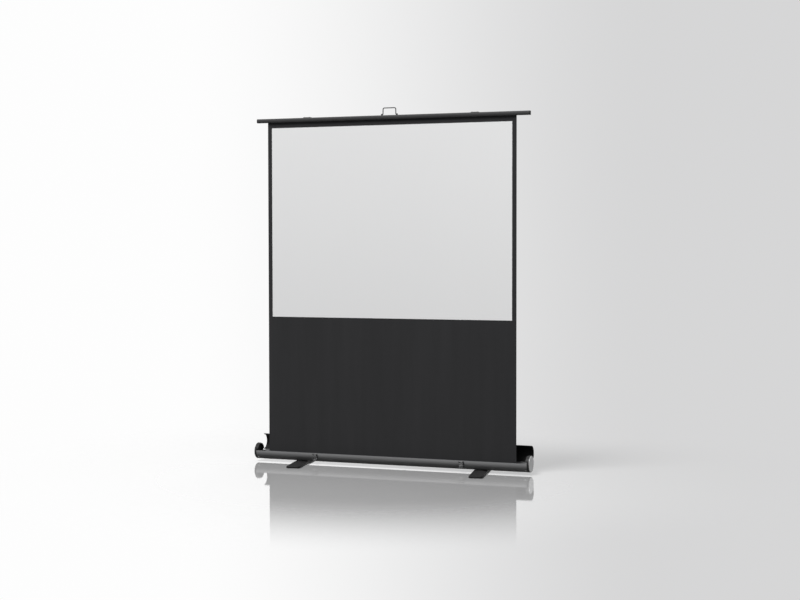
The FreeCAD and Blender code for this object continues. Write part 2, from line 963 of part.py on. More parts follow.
def hinge_bore(x0, x1):
    return rod_x(hinge_pin + run_fit, x0 - cut_past, x1 + cut_past, hinge_y, hinge_z)


def leaf_piece(a0, a1, x0, x1):
    return ring(case_radius, case_radius + hinge_leaf, rear_angle + a0, rear_angle + a1, x0, x1)


def hinge_case_leaves():
    leaves = []
    third = hinge_length / 6
    for x in hinge_places:
        x0, x1 = x - hinge_length / 2, x + hinge_length / 2
        leaf = leaf_piece(-hinge_spread, -hinge_neck, x0, x1)
        neck = leaf_piece(-hinge_neck - hinge_edge_angle, -hinge_edge_angle, x - third, x + third)
        body = join(leaf, neck, barrel(x - third, x + third))
        leaves.append(body.cut(hinge_bore(x0, x1)))
    return group(leaves)


def hinge_lid_leaves():
    leaves = []
    third = hinge_length / 6 + slide_fit
    for x in hinge_places:
        x0, x1 = x - hinge_length / 2, x + hinge_length / 2
        body = leaf_piece(hinge_neck, hinge_spread, x0, x1)
        for a, b in ((x0, x - third), (x + third, x1)):
            neck = leaf_piece(hinge_edge_angle, hinge_neck + hinge_edge_angle, a, b)
            body = join(body, neck, barrel(a, b))
        leaves.append(turned_open(body.cut(hinge_bore(x0, x1))))
    return group(leaves)


def hinge_pins():
    half = hinge_length / 2 + hinge_pin_overhang
    return group(rod_x(hinge_pin, x - half, x + half, hinge_y, hinge_z) for x in hinge_places)


def latch_keepers():
    keepers = []
    face = case_radius
    for x in (-latch_x, latch_x):
        x0, x1 = x - lever_width / 2, x + lever_width / 2
        top = face + keeper_reach
        low, high = [front_angle - a for a in (keeper_low_angle, keeper_high_angle)]
        base = ring(face, face + latch_sheet, low, high, x0, x1)
        low, high = [front_angle - a for a in keeper_ledge_angles]
        ledge = ring(face, top, low, high, x0 + keeper_side, x1 - keeper_side)
        low, high = [front_angle - a for a in keeper_lip_angles]
        lip = ring(top - keeper_lip, top, low, high, x0 + keeper_side, x1 - keeper_side)
        keepers.append(turned_open(join(base, ledge, lip)))
    return group(keepers)


# Latches.


def latch_plates():
    plates = []
    y, z = latch_pivot
    half = latch_width / 2
    for x in (-latch_x, latch_x):
        body = ring(case_radius, case_radius + latch_sheet, *latch_plate_angles, x - half, x + half)
        for x0 in (x - half, x + half - latch_ear):
            x1 = x0 + latch_ear
            ear = box(x0, x1, y, -case_radius - latch_sheet / 2, z - lever_barrel - 1, z + latch_sheet)
            body = join(body, ear, rod_x(lever_barrel + 1, x0, x1, y, z))
        plates.append(body.cut(rod_x(latch_pin + run_fit, x - half, x + half, y, z)))
    return group(plates)


def latch_pins():
    y, z = latch_pivot
    half = latch_width / 2 + latch_pin_overhang
    return group(rod_x(latch_pin, x - half, x + half, y, z) for x in (-latch_x, latch_x))


def latch_lever(x):
    y, z = latch_pivot
    ly, lz = loop_pivot
    r = case_radius + lever_stand
    x0, x1 = x - lever_width / 2, x + lever_width / 2
    plate = ring(r, r + latch_sheet, 182, 213, x0, x1)
    tip = ring(r, r + lever_lip, 211, 213, x0, x1)
    body = join(plate, tip, rod_x(lever_barrel, x0, x1, y, z))
    for a in (x - lug_reach - lug_width / 2, x + lug_reach - lug_width / 2):
        b = a + lug_width
        root = box(a, b, ly, ly + loop_stand - lever_stand, lz - lug_radius, lz + lug_radius)
        body = join(body, rod_x(lug_radius, a, b, ly, lz), root)
    body = body.cut(rod_x(latch_pin + run_fit, x0, x1, y, z))
    return body.cut(rod_x(loop_wire + run_fit, x0, x1, ly, lz))


def latch_loop(x):
    half = loop_width / 2
    y, z = loop_pivot
    low = z - loop_length
    places = [(x, z), (x + half, z), (x + half, low), (x - half, low), (x - half, z), (x, z)]
    points = [V(px, y, pz) for px, pz in places]
    return wire_along(rounded_path(points, [loop_bend] * 4), loop_wire)


def all_nodes():
    nodes = {
        "case_trough": case_trough(),
        "left_end_cap": mirrored(right_end_cap()),
        "right_end_cap": right_end_cap(),
        "end_plates": end_plates(),
        "end_cap_screws": end_cap_screws(),
        "foot_bosses": foot_bosses(),
        "foot_bolts": foot_bolts(),
        "foot_nut_plates": foot_nut_plates(),
        "left_foot": foot(left_foot_x),
        "right_foot": foot(right_foot_x),
        "left_foot_pads": foot_pads(left_foot_x),
        "right_foot_pads": foot_pads(right_foot_x),
        "left_roller_bracket": roller_bracket(-1),
        "right_roller_bracket": roller_bracket(1),
        "case_screws": case_screws(),
        "roller_tube": roller_tube(),
        "left_roller_plug": left_roller_plug(),
        "right_roller_plug": right_roller_plug(),
        "roller_arbor": roller_arbor(),
        "roller_spring": roller_spring(),
        "cloth_turns": cloth_turns(),
        "screen_sheet": screen_sheet(),
        "picture_layer": picture_layer(),
        "base_pivot_bracket": base_pivot_bracket(),
        "base_pivot_pin": base_pivot_pin(),
        "base_slide_rail": base_slide_rail(),
        "base_slide_roller": base_slide_roller(),
        "top_slide_roller": top_slide_roller(),
        "top_bar_profile": top_bar_profile(),
        "bar_plugs": bar_plugs(),
        "hem_rod": hem_rod(),
        "left_arm_bracket": left_arm_bracket(),
        "right_stop_plate": right_stop_plate(),
        "arm_bracket_pin": arm_bracket_pin(),
        "bar_screws": bar_screws(),
        "bail_ears": bail_ears(),
        "pull_bail": pull_bail(),
        "lid_shell": lid_shell(),
        "hinge_case_leaves": hinge_case_leaves(),
        "hinge_lid_leaves": hinge_lid_leaves(),
        "hinge_pins": hinge_pins(),
        "latch_keepers": latch_keepers(),
        "latch_plates": latch_plates(),
        "latch_pins": latch_pins(),
        "left_latch_lever": latch_lever(-latch_x),
        "right_latch_lever": latch_lever(latch_x),
        "left_latch_loop": latch_loop(-latch_x),
        "right_latch_loop": latch_loop(latch_x),
    }
    nodes.update(scissor_nodes())
    return nodes


def scissor_nodes():
    """Each arm, and the rivets and washers that ride on it."""
    nodes = {}
    for stage in range(stages):
        name = str(stage + 1)
        last = stage == stages - 1
        nodes["rising_arm_" + name] = rising_arm(stage)
        nodes["falling_arm_" + name] = falling_arm(stage)
        on_rising = [crossing(stage)] if last else [crossing(stage), column(1, stage + 1)]
        on_falling = [] if last else [column(-1, stage + 1)]
        nodes["rising_rivets_" + name] = rivet_set(on_rising, [top_slide_pin()] if last else [])
        if on_falling:
            nodes["falling_rivets_" + name] = rivet_set(on_falling, [] if stage else [base_slide_pin()])
    return nodes


def rivet_set(places, others):
    return group([rivet(p) for p in places] + [washer(p) for p in places] + others)


def main():
    os.makedirs("parts", exist_ok=True)
    for name, shape in all_nodes().items():
        if not shape.isValid():
            print("not valid:", name)
        shape.exportStep("parts/" + name + ".step")
    print("arm length", round(arm_length, 3), "angle", round(arm_angle, 4), "folded", round(folded_angle, 4))


if __name__ == "__main__":
    main()
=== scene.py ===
import json
import math

import bmesh
import bpy
from mathutils import Matrix, Vector


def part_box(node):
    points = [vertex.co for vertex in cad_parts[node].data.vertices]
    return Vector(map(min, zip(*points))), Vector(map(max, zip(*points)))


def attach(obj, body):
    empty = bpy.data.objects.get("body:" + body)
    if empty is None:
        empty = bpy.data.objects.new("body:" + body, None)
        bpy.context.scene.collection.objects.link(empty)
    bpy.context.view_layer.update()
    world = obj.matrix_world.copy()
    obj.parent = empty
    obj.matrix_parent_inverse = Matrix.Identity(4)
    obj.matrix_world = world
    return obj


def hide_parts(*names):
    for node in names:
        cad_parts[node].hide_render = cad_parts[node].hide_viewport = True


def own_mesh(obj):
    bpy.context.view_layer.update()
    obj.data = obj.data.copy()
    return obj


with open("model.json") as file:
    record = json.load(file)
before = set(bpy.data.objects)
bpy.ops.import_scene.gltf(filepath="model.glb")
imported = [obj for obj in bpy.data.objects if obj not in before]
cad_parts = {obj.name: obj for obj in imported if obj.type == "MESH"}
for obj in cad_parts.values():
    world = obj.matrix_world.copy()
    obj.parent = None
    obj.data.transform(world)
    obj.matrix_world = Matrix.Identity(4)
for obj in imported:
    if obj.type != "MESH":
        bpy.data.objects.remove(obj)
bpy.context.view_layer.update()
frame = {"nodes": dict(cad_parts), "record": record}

nodes = frame["nodes"]
scene = bpy.context.scene
scene.view_settings.view_transform = "Standard"


# camera, where the photograph was taken from
shot = {
    "place": (3.6686, -9.2189, 1.402),
    "yaw": 21.33,
    "pitch": -2.07,
    "roll": 0.09,
    "lens": 71.92,
    "sensor": 36.0,
    "farthest": 60.0,
}


def setCamera():
    lensData = bpy.data.cameras.new("photoCamera")
    lensData.lens = shot["lens"]
    lensData.sensor_width = shot["sensor"]
    lensData.sensor_fit = "HORIZONTAL"
    lensData.clip_end = shot["farthest"]
    camera = bpy.data.objects.new("photoCamera", lensData)
    turn = Matrix.Rotation(math.radians(shot["yaw"]), 4, "Z")
    tip = Matrix.Rotation(math.radians(shot["pitch"]), 4, "X")
    roll = Matrix.Rotation(math.radians(shot["roll"]), 4, "Y")
    level = Matrix.Rotation(math.radians(90), 4, "X")
    camera.matrix_world = Matrix.Translation(shot["place"]) @ turn @ tip @ roll @ level
    scene.collection.objects.link(camera)
    scene.camera = camera


setCamera()
print("camera set")


# small helpers for node trees
def put(tree, kind, **values):
    node = tree.nodes.new(kind)
    for key, value in values.items():
        setattr(node, key, value)
    return node


def feed(tree, socket, value):
    if isinstance(value, bpy.types.NodeSocket):
        tree.links.new(value, socket)
    else:
        socket.default_value = value


def calc(tree, operation, a, b=0.0, clamp=False):
    node = put(tree, "ShaderNodeMath", operation=operation, use_clamp=clamp)
    feed(tree, node.inputs[0], a)
    feed(tree, node.inputs[1], b)
    return node.outputs[0]


def weigh(tree, share, a, b):
    return calc(tree, "ADD", calc(tree, "MULTIPLY", a, share), calc(tree, "MULTIPLY", b, 1.0 - share))


def spread(tree, value, low, high, toLow, toHigh, smooth=False):
    node = put(tree, "ShaderNodeMapRange", interpolation_type="SMOOTHSTEP" if smooth else "LINEAR")
    for socket, entry in zip(node.inputs[:5], (value, low, high, toLow, toHigh)):
        feed(tree, socket, entry)
    return node.outputs[0]


def opaque(colour):
    return colour + (1.0,)


def mixColour(tree, share, a, b):
    node = put(tree, "ShaderNodeMix", data_type="RGBA")
    feed(tree, node.inputs[0], share)
    feed(tree, node.inputs[6], a)
    feed(tree, node.inputs[7], b)
    return node.outputs[2]


def noise(tree, vector, scale, detail=3.0, rough=0.55):
    node = put(tree, "ShaderNodeTexNoise")
    feed(tree, node.inputs["Vector"], vector)
    feed(tree, node.inputs["Scale"], scale)
    node.inputs["Detail"].default_value = detail
    node.inputs["Roughness"].default_value = rough
    return node.outputs["Fac"]


def stretch(tree, vector, size):
    node = put(tree, "ShaderNodeVectorMath", operation="MULTIPLY")
    feed(tree, node.inputs[0], vector)
    node.inputs[1].default_value = size
    return node.outputs[0]


def newGroup(name, inputs, outputs):
    tree = bpy.data.node_groups.new(name, "ShaderNodeTree")
    for label, kind, value in inputs:
        socket = tree.interface.new_socket(label, in_out="INPUT", socket_type="NodeSocket" + kind)
        if value is not None:
            socket.default_value = value
    for label, kind in outputs:
        tree.interface.new_socket(label, in_out="OUTPUT", socket_type="NodeSocket" + kind)
    return tree, put(tree, "NodeGroupInput").outputs, put(tree, "NodeGroupOutput").inputs


# effects that several finishes share
weaveLook = {
    "threads": 1100.0,
    "warp": (1.0, 1.0, 0.03),
    "weft": (0.03, 1.0, 1.0),
    "slub": (260.0, 40.0, 5.0),
}


def weaveGroup():
    tree, given, out = newGroup(
        "screenWeave",
        [("Vector", "Vector", None), ("Threads", "Float", weaveLook["threads"])],
        [("Height", "Float"), ("Tone", "Float")],
    )
    warp = noise(tree, stretch(tree, given["Vector"], weaveLook["warp"]), given["Threads"], 1.0)
    weft = noise(tree, stretch(tree, given["Vector"], weaveLook["weft"]), given["Threads"], 1.0)
    slub = noise(tree, stretch(tree, given["Vector"], weaveLook["slub"]), 1.0, 2.0)
    threads = weigh(tree, 0.5, warp, weft)
    feed(tree, out["Height"], threads)
    feed(tree, out["Tone"], weigh(tree, 0.5, threads, slub))
    return tree


grainLook = {"size": 900.0, "broad": 14.0, "fineShare": 0.35}


def grainGroup():
    tree, given, out = newGroup(
        "mouldGrain",
        [("Vector", "Vector", None), ("Size", "Float", grainLook["size"])],
        [("Height", "Float"), ("Tone", "Float")],
    )
    fine = noise(tree, given["Vector"], given["Size"], 2.0, 0.6)
    broad = noise(tree, given["Vector"], grainLook["broad"], 4.0)
    feed(tree, out["Height"], fine)
    feed(tree, out["Tone"], weigh(tree, grainLook["fineShare"], fine, broad))
    return tree


drawnLook = {"size": 1.0, "lines": (3.0, 700.0, 700.0), "broad": (2.5, 9.0, 9.0)}


def drawnGroup():
    tree, given, out = newGroup(
        "drawnLines",
        [("Vector", "Vector", None), ("Size", "Float", drawnLook["size"])],
        [("Height", "Float"), ("Tone", "Float")],
    )
    lines = noise(tree, stretch(tree, given["Vector"], drawnLook["lines"]), given["Size"], 3.0, 0.7)
    broad = noise(tree, stretch(tree, given["Vector"], drawnLook["broad"]), 1.0, 4.0)
    feed(tree, out["Height"], lines)
    feed(tree, out["Tone"], weigh(tree, 0.5, lines, broad))
    return tree


# the edge is where the rounded normal leans away from the flat one
rubLook = {"radius": 0.0006, "amount": 0.5, "edge": (0.97, 0.75), "patches": 35.0, "patch": (0.42, 0.62)}


def rubGroup():
    tree, given, out = newGroup(
        "rubbedEdge",
        [
            ("Vector", "Vector", None),
            ("Radius", "Float", rubLook["radius"]),
            ("Amount", "Float", rubLook["amount"]),
        ],
        [("Mask", "Float"), ("Normal", "Vector")],
    )
    bevel = put(tree, "ShaderNodeBevel", samples=4)
    feed(tree, bevel.inputs["Radius"], given["Radius"])
    face = put(tree, "ShaderNodeNewGeometry")
    dot = put(tree, "ShaderNodeVectorMath", operation="DOT_PRODUCT")
    feed(tree, dot.inputs[0], bevel.outputs[0])
    feed(tree, dot.inputs[1], face.outputs["Normal"])
    edge = spread(tree, dot.outputs["Value"], *rubLook["edge"], 0.0, 1.0)
    patch = noise(tree, given["Vector"], rubLook["patches"], 5.0, 0.65)
    patch = spread(tree, patch, *rubLook["patch"], 0.0, 1.0)
    rubbed = calc(tree, "MULTIPLY", edge, patch)
    feed(tree, out["Mask"], calc(tree, "MULTIPLY", rubbed, given["Amount"], True))
    feed(tree, out["Normal"], bevel.outputs[0])
    return tree


dustLook = {"amount": 0.1, "upward": (0.35, 0.95), "patches": 22.0, "patch": (0.3, 0.75), "least": 0.2}


def dustGroup():
    tree, given, out = newGroup(
        "restingDust",
        [("Vector", "Vector", None), ("Amount", "Float", dustLook["amount"])],
        [("Mask", "Float")],
    )
    face = put(tree, "ShaderNodeNewGeometry")
    axes = put(tree, "ShaderNodeSeparateXYZ")
    feed(tree, axes.inputs[0], face.outputs["Normal"])
    upward = spread(tree, axes.outputs[2], *dustLook["upward"], 0.0, 1.0)
    patch = noise(tree, given["Vector"], dustLook["patches"], 6.0, 0.7)
    patch = spread(tree, patch, *dustLook["patch"], dustLook["least"], 1.0)
    resting = calc(tree, "MULTIPLY", upward, patch)
    feed(tree, out["Mask"], calc(tree, "MULTIPLY", resting, given["Amount"]))
    return tree


groups = {
    "weave": weaveGroup(),
    "grain": grainGroup(),
    "drawn": drawnGroup(),
    "rub": rubGroup(),
    "dust": dustGroup(),
}
print("shared effects:", ", ".join(g.name for g in groups.values()))


def place(tree, key, **values):
    node = put(tree, "ShaderNodeGroup", node_tree=groups[key])
    for label, value in values.items():
        feed(tree, node.inputs[label], value)
    return node.outputs


def startFinish(name):
    material = bpy.data.materials.new(name)
    material.use_nodes = True
    tree = material.node_tree
    skin = tree.nodes["Principled BSDF"]
    where = put(tree, "ShaderNodeTexCoord").outputs["Object"]
    return material, tree, skin, where


# painted shade: the hollow side of the lid is painted near-black, told from its distance to the shell's own
# axis
def hollowShadeMask(tree, where, hollowShade):
    offset = put(tree, "ShaderNodeVectorMath", operation="SUBTRACT")
    feed(tree, offset.inputs[0], where)
    offset.inputs[1].default_value = hollowShade["axis"]
    reach = put(tree, "ShaderNodeVectorMath", operation="LENGTH")
    feed(tree, reach.inputs[0], stretch(tree, offset.outputs[0], (0.0, 1.0, 1.0)))
    return spread(tree, reach.outputs["Value"], hollowShade["inside"], hollowShade["outside"], 1.0, 0.0)


# rigid finishes: base and second tone, bare metal or pale plastic at rubbed edges
rigidLook = {"tone": (0.3, 0.7), "dust": (0.42, 0.41, 0.39), "dustMatt": 0.5, "gloss": 0.5}


def rigidFinish(name, look):
    material, tree, skin, where = startFinish(name)
    marks = place(tree, look["marks"], Vector=where, Size=look["size"])
    rub = place(tree, "rub", Vector=where, Radius=look["round"], Amount=look["rub"])
    dust = place(tree, "dust", Vector=where, Amount=look["dust"])
    tone = spread(tree, marks["Tone"], *rigidLook["tone"], 0.0, 1.0)
    colour = mixColour(tree, tone, opaque(look["base"]), opaque(look["second"]))
    colour = mixColour(tree, rub["Mask"], colour, opaque(look["worn"]))
    # painted shade: the lid's hollow side is coloured near-black
    if "hollowShade" in look:
        inHollowShade = hollowShadeMask(tree, where, look["hollowShade"])
        colour = mixColour(tree, inHollowShade, colour, opaque(look["hollowShade"]["colour"]))
    colour = mixColour(tree, dust["Mask"], colour, opaque(rigidLook["dust"]))
    feed(tree, skin.inputs["Base Color"], colour)
    matt = spread(tree, marks["Tone"], *rigidLook["tone"], *look["rough"])
    dulled = calc(tree, "MULTIPLY", dust["Mask"], rigidLook["dustMatt"])
    feed(tree, skin.inputs["Roughness"], calc(tree, "ADD", matt, dulled, True))
    skin.inputs["Metallic"].default_value = look["metal"]
    skin.inputs["Specular IOR Level"].default_value = look.get("gloss", rigidLook["gloss"])
    bump = put(tree, "ShaderNodeBump")
    bump.inputs["Strength"].default_value = look["bump"]
    bump.inputs["Distance"].default_value = look["depth"]
    feed(tree, bump.inputs["Height"], marks["Height"])
    feed(tree, bump.inputs["Normal"], rub["Normal"])
    feed(tree, skin.inputs["Normal"], bump.outputs[0])
    return material


# painted sheen: the case's black anodised aluminium gets a dark-grey base, much lighter than the bar's,
# standing in for its satin highlight
caseAnodisedPaintedSheen = {
    "base": (0.212, 0.213, 0.216), "second": (0.242, 0.243, 0.246), "worn": (0.34, 0.34, 0.34),
    "marks": "drawn", "size": 1.0, "rough": (0.5, 0.62), "metal": 0.0, "bump": 0.1, "depth": 0.0001,
    "round": 0.0007, "rub": 0.2, "dust": 0.03, "gloss": 0.06,
}
barAnodised = {
    "base": (0.042, 0.042, 0.043), "second": (0.056, 0.056, 0.057), "worn": (0.16, 0.16, 0.16),
    "marks": "drawn", "size": 1.0, "rough": (0.5, 0.62), "metal": 0.0, "bump": 0.1, "depth": 0.0001,
    "round": 0.0007, "rub": 0.25, "dust": 0.03, "gloss": 0.12,
}
# painted shade: a near-black colour on the inside of the lid shell
lidHollowShade = {
    "axis": (0.0, 0.0546, 0.1181), "inside": 0.0488, "outside": 0.0497, "colour": (0.006, 0.006, 0.006),
}
# the lid takes the case's painted sheen outside and painted shade on its hollow side
lidAnodised = dict(caseAnodisedPaintedSheen, hollowShade=lidHollowShade)
capPlastic = {
    "base": (0.018, 0.018, 0.0185), "second": (0.028, 0.028, 0.0285), "worn": (0.06, 0.06, 0.06),
    "marks": "grain", "size": 900.0, "rough": (0.42, 0.58), "metal": 0.0, "bump": 0.25, "depth": 0.0002,
    "round": 0.0008, "rub": 0.3, "dust": 0.05, "gloss": 0.12,
}
endPlatePaint = {
    "base": (0.57, 0.574, 0.578), "second": (0.66, 0.664, 0.668), "worn": (0.7, 0.7, 0.7),
    "marks": "grain", "size": 500.0, "rough": (0.32, 0.44), "metal": 0.2, "bump": 0.12, "depth": 0.0002,
    "round": 0.0005, "rub": 0.5, "dust": 0.05,
}
footPowder = {
    "base": (0.012, 0.012, 0.0123), "second": (0.019, 0.019, 0.0193), "worn": (0.2, 0.2, 0.2),
    "marks": "grain", "size": 700.0, "rough": (0.38, 0.56), "metal": 0.0, "bump": 0.4, "depth": 0.0003,
    "round": 0.0018, "rub": 0.8, "dust": 0.02, "gloss": 0.1,
}
padRubber = {
    "base": (0.016, 0.016, 0.016), "second": (0.026, 0.026, 0.026), "worn": (0.07, 0.07, 0.07),
    "marks": "grain", "size": 1200.0, "rough": (0.75, 0.92), "metal": 0.0, "bump": 0.4, "depth": 0.0003,
    "round": 0.0006, "rub": 0.5, "dust": 0.1,
}
armPaint = {
    "base": (0.025, 0.025, 0.027), "second": (0.038, 0.038, 0.04), "worn": (0.3, 0.3, 0.3),
    "marks": "grain", "size": 400.0, "rough": (0.32, 0.48), "metal": 0.1, "bump": 0.18, "depth": 0.0002,
    "round": 0.0006, "rub": 0.6, "dust": 0.06, "gloss": 0.2,
}
latchNickel = {
    "base": (0.1, 0.1, 0.102), "second": (0.14, 0.14, 0.142), "worn": (0.42, 0.41, 0.39),
    "marks": "grain", "size": 300.0, "rough": (0.3, 0.44), "metal": 0.4, "bump": 0.1, "depth": 0.0002,
    "round": 0.0005, "rub": 0.5, "dust": 0.03, "gloss": 0.3,
}
zincPlate = {
    "base": (0.46, 0.47, 0.48), "second": (0.6, 0.6, 0.58), "worn": (0.35, 0.33, 0.3),
    "marks": "grain", "size": 180.0, "rough": (0.3, 0.46), "metal": 0.95, "bump": 0.12, "depth": 0.0002,
    "round": 0.0004, "rub": 0.4, "dust": 0.04,
}
bailNickel = {
    "base": (0.034, 0.034, 0.035), "second": (0.054, 0.054, 0.055), "worn": (0.3, 0.29, 0.28),
    "marks": "drawn", "size": 0.6, "rough": (0.42, 0.55), "metal": 0.1, "bump": 0.1, "depth": 0.0001,
    "round": 0.0005, "rub": 0.3, "dust": 0.02, "gloss": 0.12,
}
tubeAluminium = {
    "base": (0.56, 0.565, 0.57), "second": (0.66, 0.66, 0.66), "worn": (0.72, 0.72, 0.72),
    "marks": "drawn", "size": 0.8, "rough": (0.3, 0.44), "metal": 0.95, "bump": 0.12, "depth": 0.0002,
    "round": 0.0005, "rub": 0.4, "dust": 0.05,
}
rollerNylon = {
    "base": (0.68, 0.67, 0.62), "second": (0.76, 0.75, 0.71), "worn": (0.5, 0.49, 0.45),
    "marks": "grain", "size": 600.0, "rough": (0.4, 0.55), "metal": 0.0, "bump": 0.15, "depth": 0.0002,
    "round": 0.0005, "rub": 0.4, "dust": 0.05,
}


# cloth finishes: woven black border, smooth matt white picture
clothLook = {"tone": (0.25, 0.75), "weave": (0.2, 0.8), "sheenRough": 0.5, "depth": 0.0002}


def clothFinish(name, look):
    material, tree, skin, where = startFinish(name)
    weave = place(tree, "weave", Vector=where, Threads=look["threads"])
    bands = noise(tree, stretch(tree, where, look["bands"]), 1.0, 3.0)
    share = weigh(tree, look["threadTone"], weave["Tone"], bands)
    tone = spread(tree, share, *clothLook["tone"], 0.0, 1.0)
    colour = mixColour(tree, tone, opaque(look["base"]), opaque(look["second"]))
    feed(tree, skin.inputs["Base Color"], colour)
    matt = spread(tree, weave["Tone"], *clothLook["weave"], *look["rough"])
    feed(tree, skin.inputs["Roughness"], matt)
    skin.inputs["Specular IOR Level"].default_value = look["gloss"]
    skin.inputs["Sheen Weight"].default_value = look["sheen"]
    skin.inputs["Sheen Roughness"].default_value = clothLook["sheenRough"]
    bump = put(tree, "ShaderNodeBump")
    bump.inputs["Strength"].default_value = look["bump"]
    bump.inputs["Distance"].default_value = clothLook["depth"]
    feed(tree, bump.inputs["Height"], weave["Height"])
    feed(tree, skin.inputs["Normal"], bump.outputs[0])
    return material


borderCloth = {
    "base": (0.0175, 0.0175, 0.0187), "second": (0.027, 0.027, 0.0287), "threads": 1100.0,
    "threadTone": 0.5, "bands": (9.0, 9.0, 0.7), "rough": (0.8, 0.95), "gloss": 0.2, "sheen": 0.1,
    "bump": 0.5,
}
pictureCloth = {
    "base": (0.845, 0.847, 0.85), "second": (0.875, 0.877, 0.88), "threads": 1500.0,
    "threadTone": 0.5, "bands": (0.7, 0.7, 0.7), "rough": (0.65, 0.8), "gloss": 0.12, "sheen": 0.0,
    "bump": 0.15,
}

finishes = {
    "case_grey": rigidFinish("caseAnodisedPaintedSheen", caseAnodisedPaintedSheen),
    "black_anodised": rigidFinish("barAnodised", barAnodised),
    "black_plastic": rigidFinish("capPlastic", capPlastic),
    "grey_plate": rigidFinish("endPlatePaint", endPlatePaint),
    "foot_black": rigidFinish("footPowder", footPowder),
    "rubber": rigidFinish("padRubber", padRubber),
    "black_steel": rigidFinish("armPaint", armPaint),
    "latch_metal": rigidFinish("latchNickel", latchNickel),
    "zinc_steel": rigidFinish("zincPlate", zincPlate),
    "bail_wire": rigidFinish("bailNickel", bailNickel),
    "roller_metal": rigidFinish("tubeAluminium", tubeAluminium),
    "nylon": rigidFinish("rollerNylon", rollerNylon),
    "black_cloth": clothFinish("borderCloth", borderCloth),
    "white_cloth": clothFinish("pictureCloth", pictureCloth),
}
nodeFinishes = {"lid_shell": rigidFinish("lidAnodised", lidAnodised)}


def dressNodes():
    slotOf = {}
    for part in frame["record"]["subparts"]:
        slotOf[part["node"]] = part["material_slot"]
    for name, node in nodes.items():
        finish = nodeFinishes.get(name, finishes[slotOf[name]])
        for holder in node.material_slots:
            holder.material = finish
        if not node.material_slots:
            node.data.materials.append(finish)
    print("finishes on", len(slotOf), "nodes")


dressNodes()


# the cloth: a black sheet from the roller to the bar, with the white picture face on it
hanging = {
    "across": 96,
    "up": 120,
    "proud": 0.0001,  # the white face stands in front of the black sheet by this
    "folded": 0.0132,
    "crisp": 0.6,  # a cut edge is sharper than this angle
    "ripple": 0.00004,
    "foot": 0.05,
    "drop": 2.11,
    "halfWidth": 0.828,
    "middle": 0.35,  # share of the ripple that is left in the middle
    "waves": ((1.0, 9.1, 0.0, 0.7), (0.6, 17.3, 0.5, -1.1), (0.4, 31.0, 0.9, 0.0)),
}


def ripple(x, z):
    height = min(1.0, max(0.0, (z - hanging["foot"]) / hanging["drop"]))
    still = math.sin(math.pi * height)  # flat at the roller and at the bar
    near = hanging["middle"] + (1.0 - hanging["middle"]) * abs(x) / hanging["halfWidth"]
    waves = 0.0
    for size, across, up, start in hanging["waves"]:
        waves += size * math.sin(across * x + up * z + start)
    return hanging["ripple"] * still * near * waves


def clothLayer(form, low, high, y):
    rows = []
    for i in range(hanging["up"] + 1):
        z = low.z + (high.z - low.z) * i / hanging["up"]
        row = []
        for k in range(hanging["across"] + 1):
            x = low.x + (high.x - low.x) * k / hanging["across"]
            row.append(form.verts.new((x, y + ripple(x, z), z)))
        rows.append(row)
    return rows


def clothSheet(name, node, body, slot, lift):
    low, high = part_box(node)
    up, across = hanging["up"], hanging["across"]
    mesh = bpy.data.meshes.new(name)
    form = bmesh.new()
    front = clothLayer(form, low, high, low.y - lift)
    back = clothLayer(form, low, high, high.y - lift)
    for i in range(up):
        for k in range(across):
            form.faces.new((front[i][k], front[i][k + 1], front[i + 1][k + 1], front[i + 1][k]))
            form.faces.new((back[i][k], back[i + 1][k], back[i + 1][k + 1], back[i][k + 1]))
    rim = [(0, k) for k in range(across)] + [(i, across) for i in range(up)]
    rim += [(up, k) for k in range(across, 0, -1)] + [(i, 0) for i in range(up, 0, -1)]
    for (i, k), (j, m) in zip(rim, rim[1:] + rim[:1]):
        form.faces.new((front[i][k], back[i][k], back[j][m], front[j][m]))
    bmesh.ops.recalc_face_normals(form, faces=form.faces[:])
    for face in form.faces:
        face.smooth = True
    for edge in form.edges:
        edge.smooth = edge.calc_face_angle(0.0) < hanging["crisp"]
    form.to_mesh(mesh)
    form.free()
    piece = bpy.data.objects.new(name, mesh)
    scene.collection.objects.link(piece)
    mesh.materials.append(finishes[slot])
    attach(piece, body)
    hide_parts(node)
    return piece, (high.x - low.x, high.z - low.z)


borderSheet, borderCut = clothSheet("borderSheet", "screen_sheet", "case", "black_cloth", 0.0)
pictureFace, pictureCut = clothSheet("pictureFace", "picture_layer", "case", "white_cloth", hanging["proud"])
for piece in (borderSheet, pictureFace):
    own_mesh(piece)
print("cloth hung")


# the turns that stay on the roller, wound tight
wound = {"steps": 180, "across": 24, "turns": 3, "clear": 0.7}


def woundCloth():
    low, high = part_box("cloth_turns")
    tubeLow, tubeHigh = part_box("roller_tube")
    y = (tubeLow.y + tubeHigh.y) / 2
    z = (tubeLow.z + tubeHigh.z) / 2
    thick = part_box("screen_sheet")[1].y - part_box("screen_sheet")[0].y
    inner = (tubeHigh.z - tubeLow.z) / 2 + wound["clear"] * thick
    outer = high.y - y - thick / 2
    sweep = 2 * math.pi * wound["turns"]
    mesh = bpy.data.meshes.new("woundCloth")
    form = bmesh.new()
    rows = []
    for i in range(wound["steps"] + 1):
        share = i / wound["steps"]
        turn = sweep * (share - 1)  # ends where the sheet leaves
        r = inner + (outer - inner) * share
        row = []
        for k in range(wound["across"] + 1):
            x = low.x + (high.x - low.x) * k / wound["across"]
            row.append(form.verts.new((x, y + r * math.cos(turn), z + r * math.sin(turn))))
        rows.append(row)
    for lower, upper in zip(rows, rows[1:]):
        for k in range(wound["across"]):
            form.faces.new((lower[k], lower[k + 1], upper[k + 1], upper[k]))
    for face in form.faces:
        face.smooth = True
    bmesh.ops.recalc_face_normals(form, faces=form.faces[:])
    form.to_mesh(mesh)
    form.free()
    piece = bpy.data.objects.new("woundCloth", mesh)
    scene.collection.objects.link(piece)
    mesh.materials.append(finishes["black_cloth"])
    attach(piece, "roller")
    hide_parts("cloth_turns")


woundCloth()
print("roller wound")


